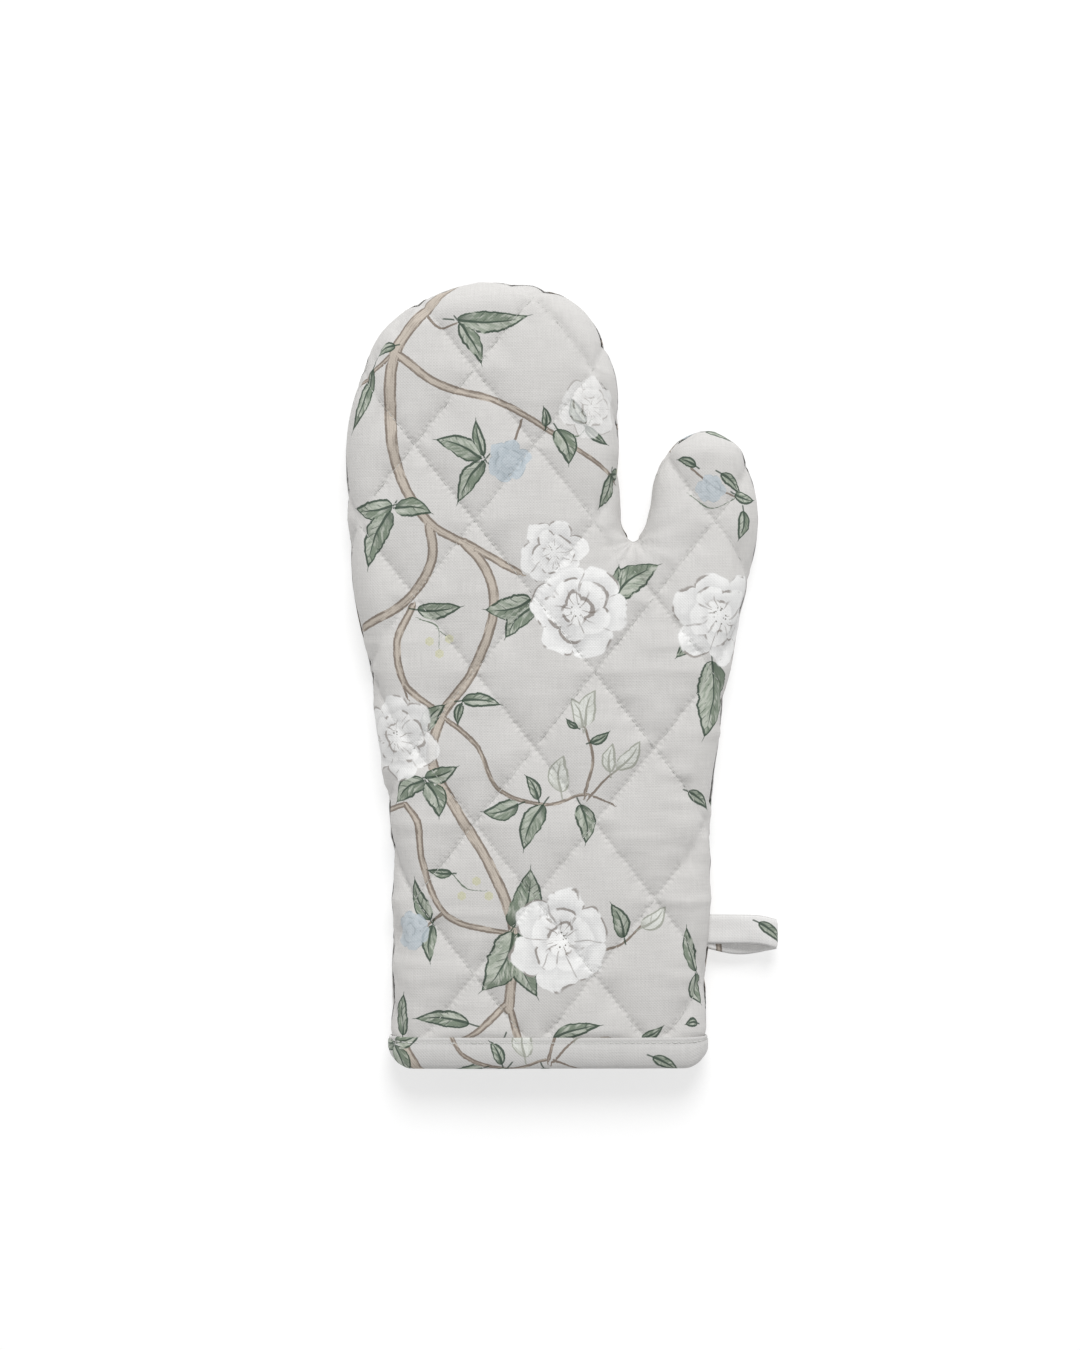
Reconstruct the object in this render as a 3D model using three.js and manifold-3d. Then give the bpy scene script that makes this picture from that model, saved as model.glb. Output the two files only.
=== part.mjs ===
// A quilted oven mitt lying flat: two padded panels (printed cotton, wadding, cotton lining) sewn together
// round their edge, a binding round the cuff and a hanging loop in the side seam.
// Each panel is divided at its two fold lines, so that the fingers and the thumb can fold over the palm.
// Millimetres, +Z up, fingers towards +Y, thumb towards +X. Everything is first laid out from the middle of
// the cuff's edge, and the finished group is moved so that its origin is under the middle of the whole mitt.
import * as THREE from "three";
import { mergeVertices } from "three/addons/utils/BufferGeometryUtils.js";
import Module from "manifold-3d";

const wasm = await Module();
wasm.setup();

// Driving dimensions.
const THICKNESS = 26; // of the whole mitt, lying with a little air in it
const SEAM_HEIGHT = 9; // of the edge seam above the surface that the mitt lies on
const ROUND_BELOW = 12; // how far in from its edge the back panel lifts off that surface
const ROUND_ABOVE = 14; // how far in from its edge the front panel reaches its full height
const ROUND_STEPS = 3;
const GAP = 0.3; // between neighbouring layers
const BINDING_HEIGHT = 12; // of the strip round the cuff
const HALF_CUFF = 65;
const FAR = 400; // further than anything in the mitt

// The edge of the mitt, from the cuff's left end over the fingers, the crotch and the thumb to its right.
const CROTCH = new THREE.Vector2(34.6, 214.3);
const BELOW_CUFF = -30; // the outline runs on past the cuff, and is cut off square there
const EDGE = [
  [-HALF_CUFF, BELOW_CUFF], [-HALF_CUFF, 0], [-64.3, 45], [-64, 86], [-67, 116], [-74.4, 165], [-80.3, 198],
  [-83, 240], [-81, 268], [-71.5, 295], [-52, 313.5], [-23, 320.4], [4, 316], [21, 300], [28.4, 279],
  [29.3, 252], [30, 226], [CROTCH.x, CROTCH.y], [40.6, 224], [43, 241], [50.5, 254], [64.5, 259.5],
  [78, 253.5], [84.4, 238], [85.6, 217], [80.5, 187], [74, 157], [68.6, 121], [66.6, 90], [66.2, 58],
  [HALF_CUFF, 32], [HALF_CUFF, 0], [HALF_CUFF, BELOW_CUFF],
];
const OUTLINE_STEPS = 2 * (EDGE.length - 1);

// Depths of each layer's two faces under the mitt's outer face, on the open panels and under the binding,
// where the wall is pressed thinner.
const LAYERS = {
  print: { open: [0, 0.8], bound: [2.2, 2.9] },
  wadding: { open: [1.1, 5.1], bound: [3.2, 4.4] },
  lining: { open: [5.4, 6.2], bound: [4.7, 5.4] },
};
const JOGGLE = 0.8; // length of wall in which the print and the lining step in under the binding
const BINDING = { outer: [0.9, 1.9], inner: [5.7, 6.5], edge: 1 };
const THREAD = 0.6;
const SEAM = { inset: 3.1, startsAt: 16 };
const TOPSTITCH = { y: 10.3, needle: [0.1, 0.6], bobbin: [6.8, 7.4] };

// The fold lines: each hinge's place, the direction that its part points in, and how far the part folds up.
const HINGE_HEIGHT = 12.5;
const THUMB_TILT = THREE.MathUtils.degToRad(30);
const THUMB_DIRECTION = new THREE.Vector2(Math.sin(THUMB_TILT), Math.cos(THUMB_TILT));
const FOLDS = {
  fingers: { at: new THREE.Vector2(0, 238), towards: new THREE.Vector2(0, 1), degrees: 60 },
  thumb: { at: CROTCH.clone().addScaledVector(THUMB_DIRECTION, 12), towards: THUMB_DIRECTION, degrees: 45 },
};
const FOLD_MARGIN = 1.5; // degrees to spare on each side of a fold's notch
const FOLD_GAP = 0.2;
const NOTCH_REACH = 40; // past the outer faces, from the hinge

const LOOP = { y: 55, width: 12, reach: 26.5, strip: 1.1, bulge: 3.7, root: 1.2 };
const LOOP_HINGE_X = 66.2 + GAP + LOOP.root;

const COLOURS = {
  print: 0xd0d0cc,
  wadding: 0xf2f1ec,
  lining: 0xe6e4de,
  binding: 0xcfcfcb,
  thread: 0xdedcd6,
};

function material(colour) {
  return new THREE.MeshStandardMaterial({ color: colour, roughness: 0.9, metalness: 0 });
}

function solidOf(geometry) {
  const shape = geometry.index ? geometry.toNonIndexed() : geometry.clone();
  shape.deleteAttribute("normal");
  shape.deleteAttribute("uv");
  const merged = mergeVertices(shape, 1e-4);
  return new wasm.Manifold(
    new wasm.Mesh({
      numProp: 3,
      vertProperties: merged.attributes.position.array,
      triVerts: new Uint32Array(merged.index.array),
    }),
  );
}

function geometryOf(solid) {
  const mesh = solid.getMesh();
  return new THREE.BufferGeometry()
    .setAttribute("position", new THREE.BufferAttribute(mesh.vertProperties, 3))
    .setIndex(new THREE.BufferAttribute(mesh.triVerts, 1))
    .toNonIndexed();
}

function slab(low, high) {
  const size = high.map((value, axis) => value - low[axis]);
  const middle = high.map((value, axis) => (value + low[axis]) / 2);
  return solidOf(new THREE.BoxGeometry(...size).translate(...middle));
}

function between(yLow, yHigh) {
  return slab([-FAR, yLow, -FAR], [FAR, yHigh, FAR]);
}

// The edge as a smooth line, with the direction that points into the mitt at each of its points.
const edgeCurve = new THREE.CatmullRomCurve3(EDGE.map(([x, y]) => new THREE.Vector3(x, y, 0)));
const edgePoints = edgeCurve.getPoints(OUTLINE_STEPS);
const inwards = edgePoints.map((_, i) => {
  const tangent = edgeCurve.getTangent(i / OUTLINE_STEPS);
  return new THREE.Vector3(tangent.y, -tangent.x, 0);
});

function edgeAt(inset) {
  return edgePoints.map((point, i) => point.clone().addScaledVector(inwards[i], inset));
}

// A closed solid through rings of the edge, each with its own inset and height, from the lowest up.
function loft(rings) {
  const outlines = rings.map(({ inset, z }) => edgeAt(inset).map((p) => new THREE.Vector3(p.x, p.y, z)));
  const count = outlines[0].length;
  const corners = outlines.flat();
  const faces = [];
  for (let ring = 0; ring + 1 < outlines.length; ring++) {
    for (let i = 0; i < count; i++) {
      const a = ring * count + i;
      const b = ring * count + ((i + 1) % count);
      faces.push([a, a + count, b], [b, a + count, b + count]);
    }
  }
  const last = (outlines.length - 1) * count;
  const flat = (outline) => outline.map((p) => new THREE.Vector2(p.x, p.y));
  const cap = (outline) => THREE.ShapeUtils.triangulateShape(flat(outline), []);
  for (const [a, b, c] of cap(outlines[0])) faces.push([c, b, a]);
  for (const [a, b, c] of cap(outlines.at(-1))) faces.push([a + last, b + last, c + last]);
  const geometry = new THREE.BufferGeometry().setFromPoints(corners);
  geometry.setIndex(faces.flat());
  return solidOf(geometry);
}

// Everything deeper than this under the mitt's outer face: round at the edge, flat above and below.
function inside(depth) {
  const rings = [];
  for (let step = -ROUND_STEPS; step <= ROUND_STEPS; step++) {
    const angle = ((step / ROUND_STEPS) * Math.PI) / 2;
    const round = step < 0 ? ROUND_BELOW : ROUND_ABOVE;
    const rise = step < 0 ? SEAM_HEIGHT : THICKNESS - SEAM_HEIGHT;
    rings.push({
      inset: round - (round - depth) * Math.cos(angle),
      z: SEAM_HEIGHT + (rise - depth) * Math.sin(angle),
    });
  }
  return loft(rings);
}

function layer([outer, inner]) {
  return inside(outer).subtract(inside(inner));
}

// Everything within a square's reach of the edge seam's line.
function alongSeam(reach) {
  const plate = (inset) => loft([SEAM_HEIGHT - reach, SEAM_HEIGHT + reach].map((z) => ({ inset, z })));
  return plate(SEAM.inset - reach).subtract(plate(SEAM.inset + reach));
}

// The side of a fold that its part is on, or the palm's side, with the notch that it folds into.
function sideOfFold({ at, towards, degrees }, side) {
  const slope = Math.tan(THREE.MathUtils.degToRad(degrees / 2 + FOLD_MARGIN));
  const section = new THREE.Shape([
    new THREE.Vector2(side * FOLD_GAP, -NOTCH_REACH),
    new THREE.Vector2(side * FOLD_GAP, 0),
    new THREE.Vector2(side * (FOLD_GAP + NOTCH_REACH * slope), NOTCH_REACH),
    new THREE.Vector2(side * FAR, NOTCH_REACH),
    new THREE.Vector2(side * FAR, -NOTCH_REACH),
  ]);
  const hinge = new THREE.Vector3(towards.y, -towards.x, 0);
  const place = new THREE.Matrix4()
    .makeBasis(new THREE.Vector3(towards.x, towards.y, 0), new THREE.Vector3(0, 0, 1), hinge)
    .setPosition(at.x, at.y, HINGE_HEIGHT);
  const prism = new THREE.ExtrudeGeometry(section, { depth: 2 * FAR, bevelEnabled: false });
  return solidOf(prism.translate(0, 0, -FAR).applyMatrix4(place));
}

const thumbSide = slab([CROTCH.x, -FAR, -FAR], [FAR, FAR, FAR]);
const fingerSide = slab([-FAR, -FAR, -FAR], [CROTCH.x, FAR, FAR]);
const REGIONS = {
  fingers: sideOfFold(FOLDS.fingers, 1).intersect(fingerSide),
  thumb: sideOfFold(FOLDS.thumb, 1).intersect(thumbSide),
  palm: sideOfFold(FOLDS.fingers, -1).add(thumbSide).intersect(sideOfFold(FOLDS.thumb, -1).add(fingerSide)),
};
const SIDES = {
  front: slab([-FAR, -FAR, SEAM_HEIGHT + GAP / 2], [FAR, FAR, FAR]),
  back: slab([-FAR, -FAR, -FAR], [FAR, FAR, SEAM_HEIGHT - GAP / 2]),
};

const mitt = new THREE.Group();

function addNode(name, solid, colour) {
  const mesh = new THREE.Mesh(geometryOf(solid), material(colour));
  mesh.name = name;
  mitt.add(mesh);
}

// One layer of the wall, all round the mitt: the open panels, and the thinner part in the binding.
function wallLayer(name) {
  const { open, bound } = LAYERS[name];
  const step = BINDING_HEIGHT + GAP;
  const startsAt = name === "wadding" ? step + JOGGLE + GAP : step;
  const panels = layer(open).intersect(between(startsAt, FAR));
  const grip = layer(bound).intersect(between(BINDING.edge + GAP, startsAt + JOGGLE));
  if (name === "wadding") return panels.add(grip);
  const both = [Math.min(open[0], bound[0]), Math.max(open[1], bound[1])];
  const joggle = layer(both).intersect(between(step, step + JOGGLE));
  return panels.add(grip).add(joggle);
}

function addPanels() {
  const seamGroove = alongSeam(THREAD);
  for (const name of Object.keys(LAYERS)) {
    const wall = name === "wadding" ? wallLayer(name).subtract(seamGroove) : wallLayer(name);
    for (const [side, half] of Object.entries(SIDES)) {
      for (const [region, cut] of Object.entries(REGIONS)) {
        addNode(`${side}_${name}_${region}`, wall.intersect(half).intersect(cut), COLOURS[name]);
      }
    }
  }
}

// The thread that joins the two panels, in the pieces that the folds divide it into.
function addSeamThread() {
  const whole = alongSeam(THREAD / 2).intersect(between(SEAM.startsAt, FAR));
  addNode("seam_thread_fingers", whole.intersect(REGIONS.fingers), COLOURS.thread);
  addNode("seam_thread_thumb", whole.intersect(REGIONS.thumb), COLOURS.thread);
  const leftToRight = whole
    .intersect(REGIONS.palm)
    .decompose()
    .sort((a, b) => a.boundingBox().min[0] - b.boundingBox().min[0]);
  const names = ["seam_thread_left", "seam_thread_crotch", "seam_thread_right"];
  leftToRight.forEach((piece, i) => addNode(names[i], piece, COLOURS.thread));
}

// The strip folded over the cuff's raw edge, and the two threads of its stitching.
function addBinding() {
  const legs = between(0, BINDING_HEIGHT);
  const fold = layer([BINDING.outer[0], BINDING.inner[1]]).intersect(between(0, BINDING.edge));
  const strip = layer(BINDING.outer).add(layer(BINDING.inner)).intersect(legs).add(fold);
  addNode("cuff_binding", strip, COLOURS.binding);
  const stitchLine = between(TOPSTITCH.y - THREAD / 2, TOPSTITCH.y + THREAD / 2);
  addNode("binding_needle_thread", layer(TOPSTITCH.needle).intersect(stitchLine), COLOURS.thread);
  addNode("binding_bobbin_thread", layer(TOPSTITCH.bobbin).intersect(stitchLine), COLOURS.thread);
}

// A strip folded back on itself, both ends in the side seam: a teardrop in section, round at its root.
function addLoop() {
  const { width, reach, strip, bulge, root } = LOOP;
  const turn = reach - root - bulge;
  const outline = new THREE.Shape();
  outline.moveTo(0, -root);
  outline.bezierCurveTo(turn / 3, -root, turn / 2, -bulge, turn, -bulge);
  outline.absarc(turn, 0, bulge, -Math.PI / 2, Math.PI / 2, false);
  outline.bezierCurveTo(turn / 2, bulge, turn / 3, root, 0, root);
  outline.absarc(0, 0, root, Math.PI / 2, (3 * Math.PI) / 2, false);
  const eye = new THREE.Path();
  const clear = bulge - strip;
  eye.moveTo(root + 2, 0);
  eye.bezierCurveTo(turn / 2, -clear, turn / 2, -clear, turn, -clear);
  eye.absarc(turn, 0, clear, -Math.PI / 2, Math.PI / 2, false);
  eye.bezierCurveTo(turn / 2, clear, turn / 2, clear, root + 2, 0);
  outline.holes.push(eye);
  const settings = { depth: width, bevelEnabled: false, curveSegments: 8 };
  const geometry = new THREE.ExtrudeGeometry(outline, settings);
  geometry.translate(0, 0, -width / 2).rotateX(Math.PI / 2).translate(LOOP_HINGE_X, LOOP.y, SEAM_HEIGHT);
  addNode("hanging_loop", solidOf(geometry), COLOURS.binding);
}

addPanels();
addSeamThread();
addBinding();
addLoop();

const box = new THREE.Box3().setFromObject(mitt);
const middle = box.getCenter(new THREE.Vector3());
mitt.position.set(-middle.x, -middle.y, -box.min.z);

export default mitt;
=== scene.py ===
"""The looks of a quilted oven mitt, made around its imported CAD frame.

Everything is laid out in millimetres from the middle of the cuff's edge, with the fingers towards +Y and the
thumb towards +X, and is turned into the frame's metres when a mesh is made.
"""

import math

import bpy
import numpy as np
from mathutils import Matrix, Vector, geometry, kdtree


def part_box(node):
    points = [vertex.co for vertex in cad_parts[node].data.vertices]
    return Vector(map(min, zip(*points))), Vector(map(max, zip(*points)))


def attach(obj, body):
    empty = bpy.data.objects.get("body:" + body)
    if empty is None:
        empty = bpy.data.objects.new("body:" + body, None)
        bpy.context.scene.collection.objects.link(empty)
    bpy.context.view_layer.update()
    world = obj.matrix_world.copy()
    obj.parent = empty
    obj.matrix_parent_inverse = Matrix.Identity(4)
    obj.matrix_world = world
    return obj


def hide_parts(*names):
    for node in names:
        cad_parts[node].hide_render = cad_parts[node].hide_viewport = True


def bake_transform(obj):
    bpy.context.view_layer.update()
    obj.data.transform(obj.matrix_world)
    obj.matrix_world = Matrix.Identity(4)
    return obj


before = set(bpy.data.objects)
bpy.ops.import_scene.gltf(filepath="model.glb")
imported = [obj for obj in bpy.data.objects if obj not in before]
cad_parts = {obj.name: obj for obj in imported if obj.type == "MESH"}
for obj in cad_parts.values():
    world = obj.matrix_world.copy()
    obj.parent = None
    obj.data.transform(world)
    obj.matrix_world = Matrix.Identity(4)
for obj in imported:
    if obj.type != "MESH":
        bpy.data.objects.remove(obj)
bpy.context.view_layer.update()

CUFF_LOW, CUFF_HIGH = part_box("cuff_binding")
ORIGIN_MM = np.array([(CUFF_LOW.x + CUFF_HIGH.x) * 500, CUFF_LOW.y * 1000, 0])


def metres(points):
    return (np.asarray(points, float) + ORIGIN_MM) / 1000


def point(x, y, z):
    return Vector(metres((x, y, z)))


# ---------------------------------------------------------------- camera

VIEW_HEIGHT = 551.8  # of what the camera sees at the seam's height
VIEW_MIDDLE = (-3.3, 159.4)
LENS = 100
SENSOR = 36
SEAM_Z = 9.0


def make_camera():
    data = bpy.data.cameras.new("camera")
    data.lens = LENS
    data.sensor_width = SENSOR
    camera = bpy.data.objects.new("camera", data)
    bpy.context.scene.collection.objects.link(camera)
    camera.location = point(*VIEW_MIDDLE, SEAM_Z + VIEW_HEIGHT * LENS / SENSOR)
    bpy.context.scene.camera = camera


make_camera()

# ---------------------------------------------------------------- driving dimensions

HALF_CUFF = 65.0  # half the cuff's width
CROTCH = np.array([34.6, 214.3])
EDGE = [
    (-HALF_CUFF, -30), (-HALF_CUFF, 0), (-64.3, 45), (-64, 86), (-67, 116), (-74.4, 165), (-80.3, 198),
    (-83, 240), (-81, 268), (-71.5, 295), (-52, 313.5), (-23, 320.4), (4, 316), (21, 300), (28.4, 279),
    (29.3, 252), (29.8, 230), (31, 219.5), tuple(CROTCH), (39, 219), (41.2, 227), (43, 241), (50.5, 254),
    (64.5, 259.5), (78, 253.5), (84.4, 238), (85.6, 217), (80.5, 187), (74, 157), (68.6, 121), (66.6, 90),
    (66.2, 58), (HALF_CUFF, 32), (HALF_CUFF, 0), (HALF_CUFF, -30),
]
THUMB_TILT = math.radians(30)
THUMB_WAY = np.array([math.sin(THUMB_TILT), math.cos(THUMB_TILT)])

FRONT, BACK = 1, -1
ROUND = {FRONT: 11.5, BACK: 10.5}  # how far in from the edge each side is round
RISE = {FRONT: 14.1, BACK: 8.8}  # of each side's outer face from the seam, just inside that
CROWN = {FRONT: 2.4, BACK: 0.0}  # what it rises further, up to the middle of the hand
CROWN_REACH = 48.0  # how far in from the edge the front still rises
WALL = 6.2  # the thickness of a wall: cloth, wadding and lining
LOWEST = 0.02  # no cloth goes below the surface that the mitt lies on
SEAM_GROOVE = 0.7  # how deep the seam pulls the edge in
PLUMP = 0.7  # how far the edge swells past the seam's line
# Each layer's two faces, as levels of the wall.
LAYERS = {"print": (0.0, 0.5), "wadding": (0.95, 5.5), "lining": (5.7, WALL)}
SOFT = (0.95, 5.55)  # the levels between which the wall gives way under a stitch
BOUND_WALL = (2.0, 5.4)  # the wall's two faces where the binding grips it
BINDING_TOP = 12.0
CUFF_CORNER = 9.0
PANEL_START = 2.5  # the panels' lower edge, inside the binding

FINE = 1.5  # spacing of the printed cloth's mesh
CREASED = 0.62  # and along the quilting lines
COARSE = 2.4  # spacing of the meshes of the layers under it

# The quilting is a lattice of diamonds, one of whose crossings is at NODE.
NODE = np.array([18.8, 160.6])
HALF_DIAMOND = np.array([24.35, 30.7])
LINE_SPACING = 2 * HALF_DIAMOND[0] * HALF_DIAMOND[1] / math.hypot(*HALF_DIAMOND)
STITCH = 2.4  # from stitch to stitch
SCALLOP = 0.42  # how far each stitch pulls the crease to one side


# ---------------------------------------------------------------- small tools

def smooth(low, high, x):
    t = np.clip((x - low) / (high - low), 0, 1)
    return t * t * (3 - 2 * t)


def noise(x, y, seed):
    """Smooth noise from -1 to 1, with one cell to each unit."""
    x, y = np.asarray(x, float), np.asarray(y, float)
    i, j = np.floor(x).astype(np.int64), np.floor(y).astype(np.int64)
    u, v = smooth(0, 1, x - i), smooth(0, 1, y - j)

    def corner(a, b):
        h = (a * 374761393 + b * 668265263 + seed * 974634777) & 0xFFFFFFFF
        h = ((h ^ (h >> 13)) * 1274126177) & 0xFFFFFFFF
        return ((h ^ (h >> 16)) & 0xFFFF) / 32767.5 - 1

    low = corner(i, j) * (1 - u) + corner(i + 1, j) * u
    high = corner(i, j + 1) * (1 - u) + corner(i + 1, j + 1) * u
    return low * (1 - v) + high * v


def spline(points, spacing):
    """A smooth line through the points, with a point at about every spacing."""
    p = np.array(points, float)
    p = np.vstack([2 * p[0] - p[1], p, 2 * p[-1] - p[-2]])
    fine = []
    for a, b, c, d in zip(p, p[1:], p[2:], p[3:]):
        before, step, after = (math.sqrt(max(math.dist(m, n), 1e-9)) for m, n in ((a, b), (b, c), (c, d)))
        leave = ((b - a) / before - (c - a) / (before + step) + (c - b) / step) * step
        arrive = ((c - b) / step - (d - b) / (step + after) + (d - c) / after) * step
        t = np.linspace(0, 1, 40, endpoint=False)[:, None]
        t2, t3 = t * t, t * t * t
        fine.append((2 * t3 - 3 * t2 + 1) * b + (t3 - 2 * t2 + t) * leave
                    + (3 * t2 - 2 * t3) * c + (t3 - t2) * arrive)
    line = np.vstack([*fine, p[-2:-1]])
    along = np.concatenate([[0], np.cumsum(np.linalg.norm(np.diff(line, axis=0), axis=1))])
    even = np.linspace(0, along[-1], max(2, round(along[-1] / spacing)) + 1)
    return np.column_stack([np.interp(even, along, line[:, k]) for k in range(line.shape[1])])


def turned(vectors):
    """Plane vectors turned a quarter to the right."""
    return np.column_stack([vectors[:, 1], -vectors[:, 0]])


def unit(vectors):
    return vectors / np.maximum(np.linalg.norm(vectors, axis=-1, keepdims=True), 1e-12)


def tangents(line):
    return unit(np.gradient(line, axis=0))


def inside(points, loop):
    """Whether each point is inside the closed loop."""
    found = np.zeros(len(points), bool)
    x, y = points[:, 0], points[:, 1]
    for (x0, y0), (x1, y1) in zip(loop, np.roll(loop, -1, axis=0)):
        if y0 != y1:
            crosses = (y0 > y) != (y1 > y)
            found ^= crosses & (x < (x1 - x0) * (y - y0) / (y1 - y0) + x0)
    return found


# ---------------------------------------------------------------- the mitt's faces

EDGE_STEP = 0.4  # between the points of the edge
EDGE_REACH = 40  # points to either side that a sharp bend of the edge still tightens
edge_line = spline(EDGE, EDGE_STEP)
edge_ways = tangents(edge_line)
edge_inwards = turned(edge_ways)
edge_bend = np.gradient(np.unwrap(np.arctan2(edge_ways[:, 1], edge_ways[:, 0]))) / EDGE_STEP
edge_tree = kdtree.KDTree(len(edge_line))
for number, (x, y) in enumerate(edge_line):
    edge_tree.insert((x, y, 0), number)
edge_tree.balance()


def edge_rounds(widest):
    """How far in from the edge a side is round, at each point of the edge: less where the edge bends out."""
    limit = np.minimum(widest, 0.8 / np.maximum(-edge_bend, 1e-3))
    window = 2 * EDGE_REACH + 1
    padded = np.pad(limit, 2 * EDGE_REACH, mode="edge")
    lowest = np.min(np.lib.stride_tricks.sliding_window_view(padded, window), axis=1)
    return np.convolve(lowest, np.ones(window) / window, mode="valid")


EDGE_ROUNDS = {side: edge_rounds(widest) for side, widest in ROUND.items()}


def outline(spacing):
    """Places along edge_line, as numbers of its points and parts of them, closer where it turns in."""
    weight = np.cumsum(1 + 10 * np.maximum(edge_bend, 0)) * EDGE_STEP
    weight -= weight[0]
    even = np.linspace(0, weight[-1], round(weight[-1] / spacing) + 1)
    return np.interp(even, weight, np.arange(len(edge_line)))


def at(values, where):
    """The values at places between the points of the edge."""
    steps = np.arange(len(values))
    if values.ndim == 1:
        return np.interp(where, steps, values)
    return np.column_stack([np.interp(where, steps, column) for column in values.T])


def nearest_edge(places):
    """The distance to the edge, the way in from it, and the number of its nearest point."""
    found = [edge_tree.find((x, y, 0)) for x, y in places]
    reach = np.array([f[2] for f in found])
    number = np.array([f[1] for f in found])
    away = unit(places - edge_line[number])
    share = smooth(0.8, 2.0, reach)[:, None]
    return reach, unit(edge_inwards[number] * (1 - share) + away * share), number


def cuff_lift(x, y):
    """How far the cuff's rounded corners raise what is y from its edge."""
    corner = np.clip(np.abs(x) - (HALF_CUFF - CUFF_CORNER), 0, CUFF_CORNER)
    rounded = CUFF_CORNER - np.sqrt(CUFF_CORNER ** 2 - corner ** 2)
    return rounded * np.clip(1 - y / BINDING_TOP, 0, 1) * 0.8


def arc_lengths(across, up):
    """How long a line of these places is, up to each of them."""
    return np.concatenate([[0], np.cumsum(np.hypot(np.diff(across), np.diff(up)))])


class Web:
    """Places on one side of the mitt, given by where they are over the flat outline.

    reach is how far from the edge each one is, inwards is the way in from there, and turn is how far round
    the edge it is: from 0 at the seam to a quarter turn on the flat of the panel.
    """

    def __init__(self, side, places, reach=None, inwards=None, turn=None):
        self.side = side
        self.places = places
        if reach is None:
            reach, inwards, number = nearest_edge(places)
            turn = np.arccos(1 - np.minimum(reach / EDGE_ROUNDS[side][number], 1))
        self.reach = reach
        self.inwards = inwards
        self.turn = turn
        self.cloth = self.pattern(0)

    def pattern(self, level):
        """The places on the flat cloth that is cut to cover the face at this level of the wall."""
        wide, high = ROUND[self.side], RISE[self.side]
        angles = np.linspace(0, math.pi / 2, 60)
        across, up = (wide - level) * np.cos(angles), (high - level) * np.sin(angles)
        arc = arc_lengths(across, up)
        more = (arc[-1] - arc) - wide * np.cos(angles)
        return self.places - self.inwards * np.interp(self.turn, angles, more)[:, None]

    def rise(self):
        """The outer face's height from the seam on the flat of the panel."""
        x, y = self.places.T
        crown = 1 - (1 - np.clip(self.reach / CROWN_REACH, 0, 1)) ** 2
        beyond = (self.places - CROTCH) @ THUMB_WAY
        thumb = smooth(-10, 30, beyond) * smooth(CROTCH[0] - 2, CROTCH[0] + 6, x)
        flatter = 1 - 0.12 * thumb - 0.14 * np.exp(-np.maximum(y, 0) / 45)
        if self.side == BACK:
            return np.full(len(y), RISE[BACK])
        return (RISE[FRONT] + CROWN[FRONT] * crown) * flatter

    def dent(self):
        """How deep the quilting and the wrinkles press the outer face in."""
        depth = quilting_dent(self.cloth) + wrinkle_dent(self.cloth, self.places, self.side)
        return depth * (1 if self.side == FRONT else 0.6)

    def lay(self, level):
        """The places in space on one face of the wall: level 0 is its outer face, and WALL its inner one."""
        dent = self.dent()
        bound = 1 - smooth(BINDING_TOP - 0.8, BINDING_TOP + 2.6, self.places[:, 1])
        squeeze = np.clip(1 - 1.35 * dent / (SOFT[1] - SOFT[0]), 0.12, 1.1)
        soft = np.clip(level - SOFT[0], 0, SOFT[1] - SOFT[0])
        opened = dent + level - soft * (1 - squeeze)
        gripped = BOUND_WALL[0] + level * (BOUND_WALL[1] - BOUND_WALL[0]) / WALL
        depth = opened * (1 - bound) + gripped * bound
        groove = SEAM_GROOVE * np.exp(-((self.turn / 0.26) ** 2)) - PLUMP * np.cos(self.turn) ** 2
        flat = self.places + self.inwards * (depth * np.cos(self.turn) + groove)[:, None]
        flat[:, 1] += cuff_lift(*self.places.T)
        up = 0.1 + (self.rise() - depth) * np.sin(self.turn)
        return np.column_stack([flat, np.maximum(SEAM_Z + self.side * up, LOWEST)])

    def outwards(self):
        """The way out of the mitt at each place."""
        flat = -self.inwards * np.cos(self.turn)[:, None]
        return np.column_stack([flat, self.side * np.sin(self.turn)])


def lattice(cloth):
    """For both families of quilting lines: how far the nearest is, the place along it, and its number."""
    a, b = ((cloth - NODE) / HALF_DIAMOND / 2).T
    for across, along in ((a - b, a + b), (a + b, a - b)):
        number = np.round(across)
        yield (across - number) * LINE_SPACING, along * math.hypot(*HALF_DIAMOND), number


def scallop(along):
    """The crease's sideways zigzag: one tooth to each stitch."""
    return SCALLOP * (np.abs((along / STITCH) % 1 - 0.5) * 4 - 1)


def quilting_dent(cloth):
    """A narrow crease along each stitch line, at the bottom of the wide valley between two cushions."""
    dents = []
    for off, along, number in lattice(cloth):
        near = np.abs(off - scallop(along))
        fade = 0.8 + 0.25 * noise(along / 9, number * 3.7, 77)
        dents.append((0.28 * np.exp(-((near / 0.75) ** 2)) + 3.6 * np.exp(-near / 6.8)) * fade)
    return np.maximum(*dents)


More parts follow.
